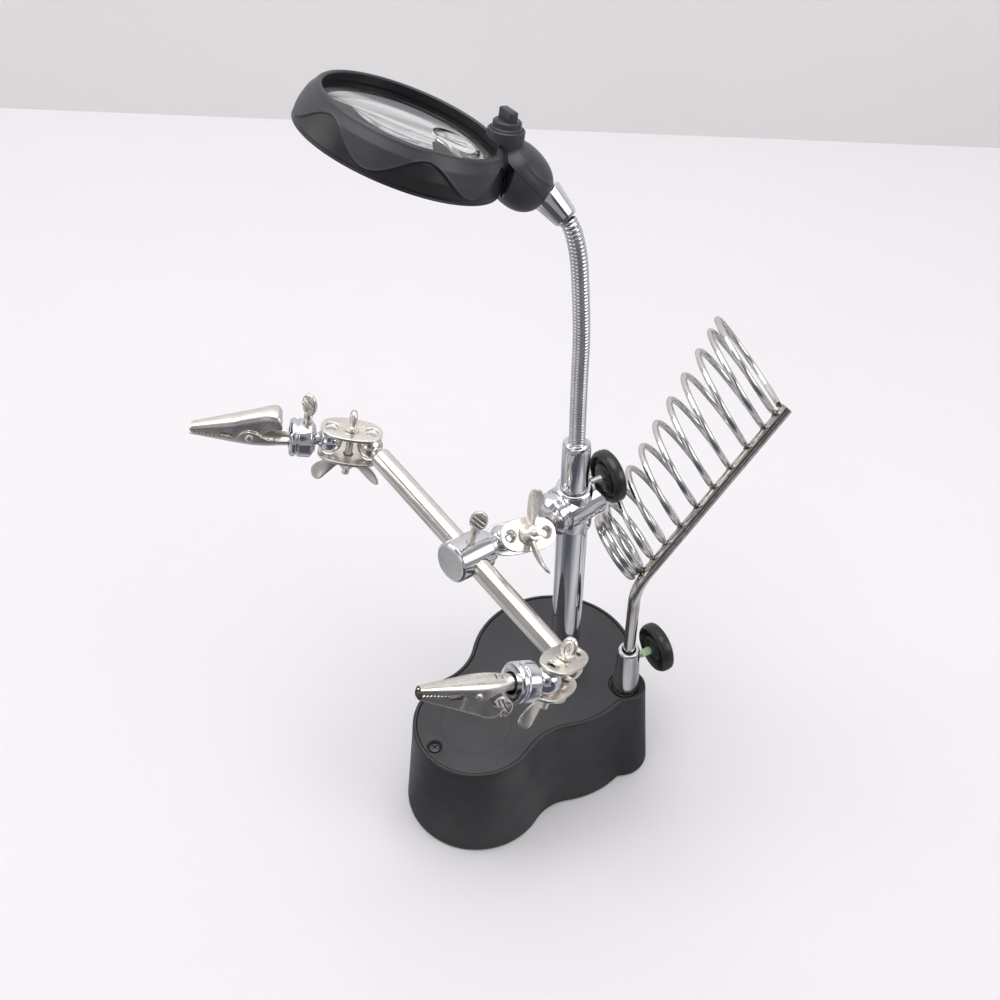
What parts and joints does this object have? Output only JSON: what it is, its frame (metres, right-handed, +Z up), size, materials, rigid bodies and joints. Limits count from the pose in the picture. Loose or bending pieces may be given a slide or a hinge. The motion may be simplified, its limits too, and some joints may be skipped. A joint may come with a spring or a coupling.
{
  "type": "helping hands clamp",
  "caption": "Weighted workbench stand with jointed arms ending in croc clips on a cross rod, a gooseneck magnifier with lamps, and a coiled soldering iron rest",
  "frame": {"origin": "on the post's axis at the height of the feet's undersides", "axes": "+Z up along the post, -Y towards the base's front lobe, +X towards the side of the iron rest"},
  "size_m": [0.1882, 0.2314, 0.371],
  "materials": {
    "housing": "moulded black, fine texture",
    "knob": "satin black",
    "grip": "soft-touch charcoal",
    "bright_chrome": "polished plate",
    "nickel": "bright nickel plate, warm tint",
    "fastener": "blackened screw",
    "pin": "plain steel",
    "ballast": "raw casting",
    "foot": "matt rubber",
    "cell": "printed sleeve, plain",
    "lens": "clear polished",
    "lamp": "clear-ended lamp"
  },
  "bodies": {
    "base": {"base_shell": "housing", "base_cover": "housing", "cover_screw_1": "fastener", "cover_screw_2": "fastener", "bottom_plate": "housing", "battery_door": "housing", "battery_1": "cell", "battery_2": "cell", "battery_3": "cell", "ballast_weight": "ballast", "foot_1": "foot", "foot_2": "foot", "foot_3": "foot", "post_tube": "bright_chrome", "rest_socket": "bright_chrome"},
    "rest_screw": {"rest_knob": "knob"},
    "t_clamp": {"t_joint": "bright_chrome"},
    "t_screw": {"upper_knob": "knob"},
    "stud": {"ball_stud": "nickel"},
    "centre_clamp": {"centre_plate_a": "nickel", "centre_plate_b": "nickel", "centre_bolt": "nickel"},
    "centre_nut": {"centre_wing_nut": "nickel"},
    "block": {"rod_block": "bright_chrome"},
    "block_thumb": {"block_screw": "nickel"},
    "rod": {"cross_rod": "nickel"},
    "left_clamp": {"left_plate_a": "nickel", "left_plate_b": "nickel", "left_bolt": "nickel"},
    "left_nut": {"left_wing_nut": "nickel"},
    "left_cup": {"left_socket": "bright_chrome"},
    "left_thumb": {"left_socket_screw": "nickel"},
    "left_clip": {"left_clip_body": "nickel"},
    "left_jaw": {"left_clip_jaw": "nickel"},
    "right_clamp": {"right_plate_a": "nickel", "right_plate_b": "nickel", "right_bolt": "nickel"},
    "right_nut": {"right_wing_nut": "nickel"},
    "right_cup": {"right_socket": "bright_chrome"},
    "right_thumb": {"right_socket_screw": "nickel"},
    "right_clip": {"right_clip_body": "nickel"},
    "right_jaw": {"right_clip_jaw": "nickel"},
    "neck_root": {"neck_ferrule": "bright_chrome"},
    "neck_1": {"neck_segment_1": "bright_chrome"},
    "neck_2": {"neck_segment_2": "bright_chrome"},
    "neck_3": {"neck_segment_3": "bright_chrome"},
    "neck_4": {"neck_segment_4": "bright_chrome"},
    "neck_5": {"neck_segment_5": "bright_chrome", "head_ferrule": "bright_chrome", "handle_upper": "grip", "handle_lower": "grip", "tilt_pin": "pin"},
    "lens_head": {"lens_frame": "grip", "main_lens": "lens", "spot_lens": "lens", "lamp_1": "lamp", "lamp_2": "lamp"},
    "switch": {"lamp_switch": "grip"},
    "iron_rest": {"rest_rod": "bright_chrome", "rest_coil": "bright_chrome"}
  },
  "joints": [
    {"name": "t_swivel", "type": "hinge", "parent": "base", "child": "t_clamp", "pos_m": [0, 0, 0.17], "axis": [0, 0, 1], "range_deg": [-20, 15]},
    {"name": "t_knob_turn", "type": "hinge", "parent": "t_clamp", "child": "t_screw", "pos_m": [0, 0, 0.178], "axis": [0.2924, 0.9563, 0], "continuous": true},
    {"name": "stud_roll", "type": "hinge", "parent": "t_clamp", "child": "stud", "pos_m": [0.00184, -0.02343, 0.17], "axis": [-0.0785, 0.9969, 0], "range_deg": [-30, 30]},
    {"name": "centre_swing", "type": "hinge", "parent": "stud", "child": "centre_clamp", "pos_m": [0.00184, -0.02343, 0.17], "axis": [-0.6708, 0.017, -0.7415], "range_deg": [-20, 20]},
    {"name": "centre_nut_turn", "type": "hinge", "parent": "centre_clamp", "child": "centre_nut", "pos_m": [-0.00105, -0.03103, 0.17245], "axis": [0.6708, -0.017, 0.7415], "continuous": true},
    {"name": "block_swing", "type": "hinge", "parent": "centre_clamp", "child": "block", "pos_m": [-0.00395, -0.03864, 0.17489], "axis": [-0.6708, 0.017, -0.7415], "range_deg": [-15, 15]},
    {"name": "block_screw_turn", "type": "hinge", "parent": "block", "child": "block_thumb", "pos_m": [-0.00532, -0.05866, 0.1791], "axis": [0.1637, 0.1922, 0.9676], "continuous": true},
    {"name": "rod_slide", "type": "slide", "parent": "block", "child": "rod", "axis": [0.9843, -0.098, -0.147], "range_m": [-0.015, 0.015]},
    {"name": "left_clamp_swing", "type": "hinge", "parent": "rod", "child": "left_clamp", "pos_m": [-0.07128, -0.04911, 0.19508], "axis": [0.0406, 0.21, 0.9769], "range_deg": [-30, 30]},
    {"name": "left_nut_turn", "type": "hinge", "parent": "left_clamp", "child": "left_nut", "pos_m": [-0.07769, -0.05618, 0.19016], "axis": [-0.0406, -0.21, -0.9769], "continuous": true},
    {"name": "left_cup_swing", "type": "hinge", "parent": "left_clamp", "child": "left_cup", "pos_m": [-0.08382, -0.06188, 0.19164], "axis": [0.0406, 0.21, 0.9769], "range_deg": [-25, 25]},
    {"name": "left_thumb_turn", "type": "hinge", "parent": "left_cup", "child": "left_thumb", "pos_m": [-0.0903, -0.06954, 0.19347], "axis": [0.0467, 0.194, 0.9799], "continuous": true},
    {"name": "left_clip_spin", "type": "hinge", "parent": "left_cup", "child": "left_clip", "pos_m": [-0.09475, -0.0748, 0.19472], "axis": [-0.6352, -0.7513, 0.1791], "continuous": true},
    {"name": "left_jaw_open", "type": "hinge", "parent": "left_clip", "child": "left_jaw", "pos_m": [-0.10524, -0.08694, 0.19926], "axis": [-0.7715, 0.6278, -0.1029], "range_deg": [0, 20]},
    {"name": "right_clamp_swing", "type": "hinge", "parent": "rod", "child": "right_clamp", "pos_m": [0.05745, -0.0603, 0.17521], "axis": [-0.0058, 0.4638, 0.8859], "range_deg": [-25, 25]},
    {"name": "right_nut_turn", "type": "hinge", "parent": "right_clamp", "child": "right_nut", "pos_m": [0.05855, -0.07081, 0.17333], "axis": [0.0058, -0.4638, -0.8859], "continuous": true},
    {"name": "right_cup_swing", "type": "hinge", "parent": "right_clamp", "child": "right_cup", "pos_m": [0.05961, -0.07828, 0.17724], "axis": [-0.0058, 0.4638, 0.8859], "range_deg": [-20, 20]},
    {"name": "right_thumb_turn", "type": "hinge", "parent": "right_cup", "child": "right_thumb", "pos_m": [0.05655, -0.08696, 0.18164], "axis": [-0.3175, -0.337, -0.8864], "continuous": true},
    {"name": "right_clip_spin", "type": "hinge", "parent": "right_cup", "child": "right_clip", "pos_m": [0.05445, -0.09291, 0.18466], "axis": [-0.3, -0.851, 0.431], "continuous": true},
    {"name": "right_jaw_open", "type": "hinge", "parent": "right_clip", "child": "right_jaw", "pos_m": [0.04949, -0.10777, 0.19038], "axis": [0.9539, -0.2633, 0.1441], "range_deg": [0, 20]},
    {"name": "neck_swivel", "type": "hinge", "parent": "t_clamp", "child": "neck_root", "pos_m": [0, 0, 0.208], "axis": [0, 0, 1], "range_deg": [-120, 120]},
    {"name": "neck_bend_1", "type": "hinge", "parent": "neck_root", "child": "neck_1", "pos_m": [0, 0, 0.208], "axis": [-0.088, 0.9961, 0], "range_deg": [-8, 6]},
    {"name": "neck_bend_2", "type": "hinge", "parent": "neck_1", "child": "neck_2", "pos_m": [-0.00044, -0.00004, 0.22972], "axis": [-0.088, 0.9961, 0], "range_deg": [-8, 6]},
    {"name": "neck_bend_3", "type": "hinge", "parent": "neck_2", "child": "neck_3", "pos_m": [-0.00065, -0.00006, 0.25145], "axis": [-0.088, 0.9961, 0], "range_deg": [-8, 6]},
    {"name": "neck_bend_4", "type": "hinge", "parent": "neck_3", "child": "neck_4", "pos_m": [-0.0014, -0.00012, 0.27316], "axis": [-0.088, 0.9961, 0], "range_deg": [-8, 6]},
    {"name": "neck_bend_5", "type": "hinge", "parent": "neck_4", "child": "neck_5", "pos_m": [-0.00332, -0.00029, 0.2948], "axis": [-0.088, 0.9961, 0], "range_deg": [-8, 6]},
    {"name": "lens_tilt", "type": "hinge", "parent": "neck_5", "child": "lens_head", "pos_m": [-0.02886, -0.01091, 0.32584], "axis": [0.8032, -0.5413, 0.2487], "range_deg": [0, 26]},
    {"name": "switch_turn", "type": "hinge", "parent": "neck_5", "child": "switch", "pos_m": [-0.0335, -0.00918, 0.34461], "axis": [-0.1081, 0.278, 0.9545], "range_deg": [0, 60]},
    {"name": "rest_swivel", "type": "hinge", "parent": "base", "child": "iron_rest", "pos_m": [0.0305, 0.0096, 0], "axis": [0, 0, 1], "range_deg": [-45, 4]},
    {"name": "rest_knob_turn", "type": "hinge", "parent": "base", "child": "rest_screw", "pos_m": [0.0305, 0.0096, 0.078], "axis": [0.2924, 0.9563, 0], "continuous": true}
  ]
}
